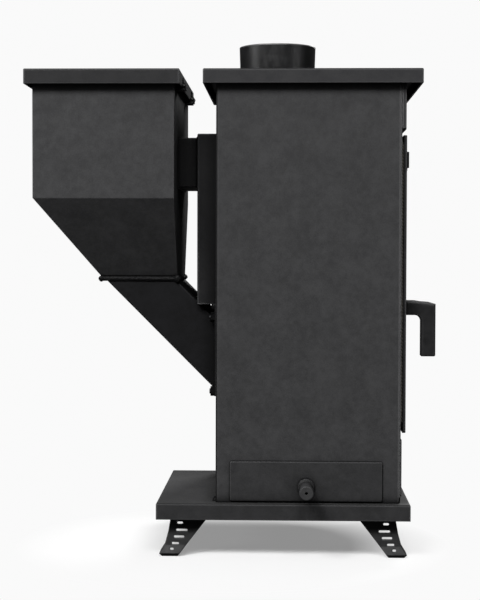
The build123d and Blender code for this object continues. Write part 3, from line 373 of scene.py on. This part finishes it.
# ------------------------------------------------------------------ outlet band and chute
# The square chute is welded to the hopper's foot at 45 degrees, with a rough bead round the band, and
# drawn on to the back of the body by four studs and nuts, with a fibre gasket under its flange.
chute_paint = stove_paint("matt_stove_paint_chute", "#101011", "#18181a", highlight_tone="#38383a", shine=0.15)
black_fixing = machined_metal("blackened_steel_fixings", "#3a3a3b", "#1d1d1e", 0.42)
gasket_fibre = woven_rope("pressed_fibre_gasket", "#8c8778", "#6a665b", 0.0014)
finish_with(chute_paint, "hopper_chute")
finish_with(weld_paint, "outlet_band", "chute_flange")
finish_with(black_fixing, "chute_studs", "chute_nuts")
finish_with(gasket_fibre, "chute_gasket")

band_low, band_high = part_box("outlet_band")
bead_sink = Vector((0.003, 0.003, 0.0))
band_bead_radius = 0.0044
band_bead_ripple = 0.0030
band_blob_sizes = (0.0062, 0.0078, 0.0055, 0.0055)
band_level = (band_low.z + band_high.z) / 2
band_runs = frame_runs(band_low + bead_sink, band_high - bead_sink, 2, band_level)
band_blobs = [(start, size) for (start, end), size in zip(band_runs, band_blob_sizes)]
band_bead = weld_bead("hopper_foot_weld", band_runs, band_bead_radius, band_blobs, ripple=band_bead_ripple)
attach(band_bead, "stove")

# ------------------------------------------------------------------ door, window and its fixings
# A thick plate door with a ceramic-glass window held from behind by four steel clips, on a tape of glass
# fibre, and a rope seal that meets the frame. Hinge leaves and strip guides are painted with it.
door_paint = stove_paint("matt_stove_paint_door", "#343435", "#404041", rough=0.55)
finish_with(door_paint, "door_leaf", "hinge_door_leaves", "hinge_frame_leaves", "wash_guides", "air_guides")
finish_with(rope, "door_seal", "glass_tape")
finish_with(zinc_fixing, "glass_clips", "glass_screws")


# Patches of smoke film in a metre, one in 110 mm.
film_count = 9.0


def ceramic_glass():
    """Transparent glass-ceramic, rolled flat, with a faint smoke film in hand-wide patches that blurs it."""
    material, tree, shader, place = begin("clear_glass_ceramic")
    film = add(tree, "ShaderNodeTexNoise", Vector=place, Scale=film_count, Detail=4.0, Roughness=0.6)
    smoke = add(tree, "ShaderNodeMapRange", Value=film.outputs[0], i1=0.35, i2=0.8, i3=0.04, i4=0.22)
    tree.links.new(smoke.outputs[0], shader.inputs["Roughness"])
    shader.inputs["Base Color"].default_value = tone("#e4e0d8")
    shader.inputs["Transmission Weight"].default_value = 0.92
    shader.inputs["IOR"].default_value = 1.5
    return material


finish_with(ceramic_glass(), "door_glass")

# ------------------------------------------------------------------ handle and latch
# L grip moulded in a heat-resistant plastic, satin black and smoother than the paint, on a steel spindle
# that turns in a brass bush. Behind the door a flat tongue is nutted on the spindle.
handle_paint = stove_paint("satin_black_handle", "#161617", "#202021", highlight_tone="#343435", rough=0.36,
                           fold=0.009, shine=0.6)
brass_bush = machined_metal("turned_brass_bush", "#b48c46", "#7b5c2a", 0.4)
finish_with(handle_paint, "door_handle")
finish_with(brass_bush, "handle_bush")
finish_with(black_fixing, "handle_spindle", "latch_tongue", "latch_nut")

# ------------------------------------------------------------------ air strips
# Punched strips of blackened steel that slide in lipped guides over the door's and the plate's slots,
# their near ends bent out as finger tabs.
finish_with(black_fixing, "wash_slider", "air_slider")

# ------------------------------------------------------------------ ash drawer
# A painted front with softly rounded edges on a plain welded steel tray. Its turned knob stands on a
# rose, a stepped ring that is clamped against the front behind it.
drawer_paint = stove_paint("matt_stove_paint_drawer", "#2d2d2e", "#373738", highlight_tone="#4c4c4d", fold=0.003)
knob_paint = stove_paint("satin_black_knob", "#303031", "#3a3a3b", highlight_tone="#434344", fold=0.0015, rough=0.5,
                         shine=0.4)
plain_steel = machined_metal("mill_finish_steel", "#8e8d8a", "#5f5e5c", 0.45)
finish_with(drawer_paint, "drawer_front")
finish_with(knob_paint, "drawer_knob")
finish_with(plain_steel, "ash_tray", "ash_tray_ends", "drawer_runners")

knob_low, knob_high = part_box("drawer_knob")
rose_radius = 0.0160
rose_thick = 0.0045
rose_step = 0.0022
rose_edge = 0.0005
rose_middle = ((knob_low.x + knob_high.x) / 2, knob_high.y - rose_thick / 2, (knob_low.z + knob_high.z) / 2)
bpy.ops.object.select_all(action="DESELECT")
bpy.ops.mesh.primitive_cylinder_add(vertices=56, radius=rose_radius, depth=rose_thick, location=rose_middle,
                                    rotation=(math.pi / 2, 0, 0))
rose = bpy.context.object
rose.name = "knob_rose"
bpy.ops.object.transform_apply(location=True, rotation=True, scale=True)
bpy.ops.object.mode_set(mode="EDIT")
bpy.ops.mesh.select_mode(type="FACE")
bpy.ops.mesh.select_all(action="DESELECT")
rose_mesh = bmesh.from_edit_mesh(rose.data)
for face in rose_mesh.faces:
    face.select_set(face.normal.y < -0.9)
bmesh.update_edit_mesh(rose.data)
for step in (rose_step, rose_step / 2):
    bpy.ops.mesh.inset(thickness=step)
    bpy.ops.mesh.extrude_region_move(TRANSFORM_OT_translate={"value": (0, -step, 0)})
bpy.ops.object.mode_set(mode="OBJECT")
turned_edge = rose.modifiers.new("turned_edge", "BEVEL")
turned_edge.width = rose_edge
turned_edge.segments = 2
turned_edge.limit_method = "ANGLE"
bpy.ops.object.modifier_apply(modifier="turned_edge")
bpy.ops.object.shade_smooth_by_angle(angle=math.radians(30))
rose.data.materials.clear()
rose.data.materials.append(drawer_paint)
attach(rose, "drawer")

# ------------------------------------------------------------------ firebox
# All that stands in the fire: steel plates and rails dulled by the heat, a sand-cast grate and burn pot,
# and pressed vermiculite boards that stand behind the rails along both sides.
burnt_steel = machined_metal("heat_dulled_steel", "#4d4741", "#2c2927", 0.6)
finish_with(burnt_steel, "hearth_plate", "feed_slide", "brick_rails", "baffle_plate", "baffle_bars")
# In a metre: grains of the casting, one in 2.1 mm, flakes of the board, one in 3.3 mm, and patches of
# soot, one in 125 mm.
grain_count = 480.0
flake_count = 300.0
soot_count = 8.0


def sand_cast(name):
    """Sand-cast iron: dark, coarse skin with a grain of about two millimetres."""
    material, tree, shader, place = begin(name)
    skin = add(tree, "ShaderNodeTexNoise", Vector=place, Scale=grain_count, Detail=6.0, Roughness=0.7)
    iron = add(tree, "ShaderNodeValToRGB", stops=((0.3, "#1c1b1a"), (0.7, "#3a3733")), i0=skin.outputs[0])
    tree.links.new(iron.outputs[0], shader.inputs["Base Color"])
    pits = add(tree, "ShaderNodeBump", Strength=0.7, Distance=0.0005, Height=skin.outputs[0])
    tree.links.new(pits.outputs[0], shader.inputs["Normal"])
    shader.inputs["Metallic"].default_value = 0.6
    shader.inputs["Roughness"].default_value = 0.68
    return material


def vermiculite(name):
    """Pressed vermiculite board: buff, with flat golden flakes about three millimetres across, and sooted in
    patches a hand wide."""
    material, tree, shader, place = begin(name)
    flakes = add(tree, "ShaderNodeTexVoronoi", Vector=place, Scale=flake_count)
    soot = add(tree, "ShaderNodeTexNoise", Vector=place, Scale=soot_count, Detail=4.0)
    buff = add(tree, "ShaderNodeValToRGB", stops=((0.2, "#8d7753"), (0.8, "#c4ab7c")),
               i0=flakes.outputs["Color"])
    shade = add(tree, "ShaderNodeValToRGB", stops=((0.4, "#4a4136"), (0.62, "#ffffff")), i0=soot.outputs[0])
    mixed = add(tree, "ShaderNodeMix", {"data_type": "RGBA", "blend_type": "MULTIPLY"}, i0=0.8,
                i6=buff.outputs[0], i7=shade.outputs[0])
    tree.links.new(mixed.outputs[2], shader.inputs["Base Color"])
    grit = add(tree, "ShaderNodeBump", Strength=0.5, Distance=0.0006, Height=flakes.outputs["Distance"])
    tree.links.new(grit.outputs[0], shader.inputs["Normal"])
    shader.inputs["Roughness"].default_value = 0.9
    return material


finish_with(sand_cast("sand_cast_iron"), "fire_grate", "burn_pot")
finish_with(vermiculite("pressed_vermiculite"), "brick_near", "brick_far")

# ------------------------------------------------------------------ floor
# A plain white studio floor. To the camera it is an even white, except in a round patch under the stove,
# where the stove's real shadow shows. To the lights it is a dull grey that throws little up at the steel.
patch_centre = (0.0, -0.05, 0.0)
patch_core = 0.24
patch_reach = 0.44
patch_albedo = 0.70
patch_glow = 0.27
floor_glow = 0.955
unseen_albedo = 0.12
bpy.ops.object.select_all(action="DESELECT")
bpy.ops.mesh.primitive_plane_add(size=40, location=(0, 0, 0))
floor = bpy.context.object
floor.name = "studio_floor"
floor_material, floor_tree, floor_shader, floor_place = begin("white_studio_floor")
seen = add(floor_tree, "ShaderNodeLightPath").outputs["Is Camera Ray"]
behind = add(floor_tree, "ShaderNodeVectorMath", {"operation": "SUBTRACT"}, i0=floor_place, i1=patch_centre)
away = add(floor_tree, "ShaderNodeVectorMath", {"operation": "LENGTH"}, i0=behind.outputs[0])
near = add(floor_tree, "ShaderNodeMapRange", Value=away.outputs[1], i1=patch_core, i2=patch_reach, i3=1.0,
           i4=0.0)
shown = add(floor_tree, "ShaderNodeMapRange", Value=near.outputs[0], i3=0.0, i4=patch_albedo)
albedo = add(floor_tree, "ShaderNodeMix", {"data_type": "FLOAT"}, i0=seen, i2=unseen_albedo,
             i3=shown.outputs[0])
lift = add(floor_tree, "ShaderNodeMapRange", Value=near.outputs[0], i3=floor_glow, i4=patch_glow)
glow = add(floor_tree, "ShaderNodeMath", {"operation": "MULTIPLY"}, i0=seen, i1=lift.outputs[0])
floor_tree.links.new(albedo.outputs[0], floor_shader.inputs["Base Color"])
floor_tree.links.new(glow.outputs[0], floor_shader.inputs["Emission Strength"])
floor_shader.inputs["Roughness"].default_value = 1.0
floor_shader.inputs["Specular IOR Level"].default_value = 0.0
floor_shader.inputs["Emission Color"].default_value = (1.0, 1.0, 1.0, 1.0)
floor.data.materials.append(floor_material)

# ------------------------------------------------------------------ surround and lights
# An even white surround, two softboxes above and behind the camera with the left one stronger, a small
# strip at each side for the edges, and one softbox behind the stove, so that its far side isn't black.
unseen_sky = 0.03
surround = bpy.data.worlds.new("white_surround")
surround.use_nodes = True
sky = surround.node_tree
sky_seen = add(sky, "ShaderNodeLightPath").outputs["Is Camera Ray"]
level = add(sky, "ShaderNodeMapRange", Value=sky_seen, i3=unseen_sky, i4=floor_glow)
sky.nodes["Background"].inputs[0].default_value = (1.0, 1.0, 1.0, 1.0)
sky.links.new(level.outputs[0], sky.nodes["Background"].inputs[1])
bpy.context.scene.world = surround


def softbox(name, place, target, size, power):
    """A square light of a size in metres and a power in watts, turned to face a point on the stove."""
    bpy.ops.object.light_add(type="AREA", location=place)
    lamp = bpy.context.object
    lamp.name = name
    lamp.data.shape = "SQUARE"
    lamp.data.size = size
    lamp.data.energy = power
    lamp.rotation_mode = "QUATERNION"
    lamp.rotation_quaternion = (Vector(target) - Vector(place)).to_track_quat("-Z", "Y")


middle_of_stove = (0, 0, 0.5)
upper_body = (0, 0, 0.7)
softbox("left_softbox", (-3.2, -5.1, 6.6), middle_of_stove, 3.0, 640)
softbox("right_softbox", (1.0, -5.9, 6.6), middle_of_stove, 3.0, 285)
softbox("left_strip", (-4.8, -1.5, 1.9), upper_body, 0.7, 19)
softbox("right_strip", (4.4, -2.4, 1.9), upper_body, 0.7, 9)
softbox("rear_softbox", (2.6, 5.2, 4.6), middle_of_stove, 2.4, 220)

bpy.context.scene.view_settings.view_transform = "Standard"
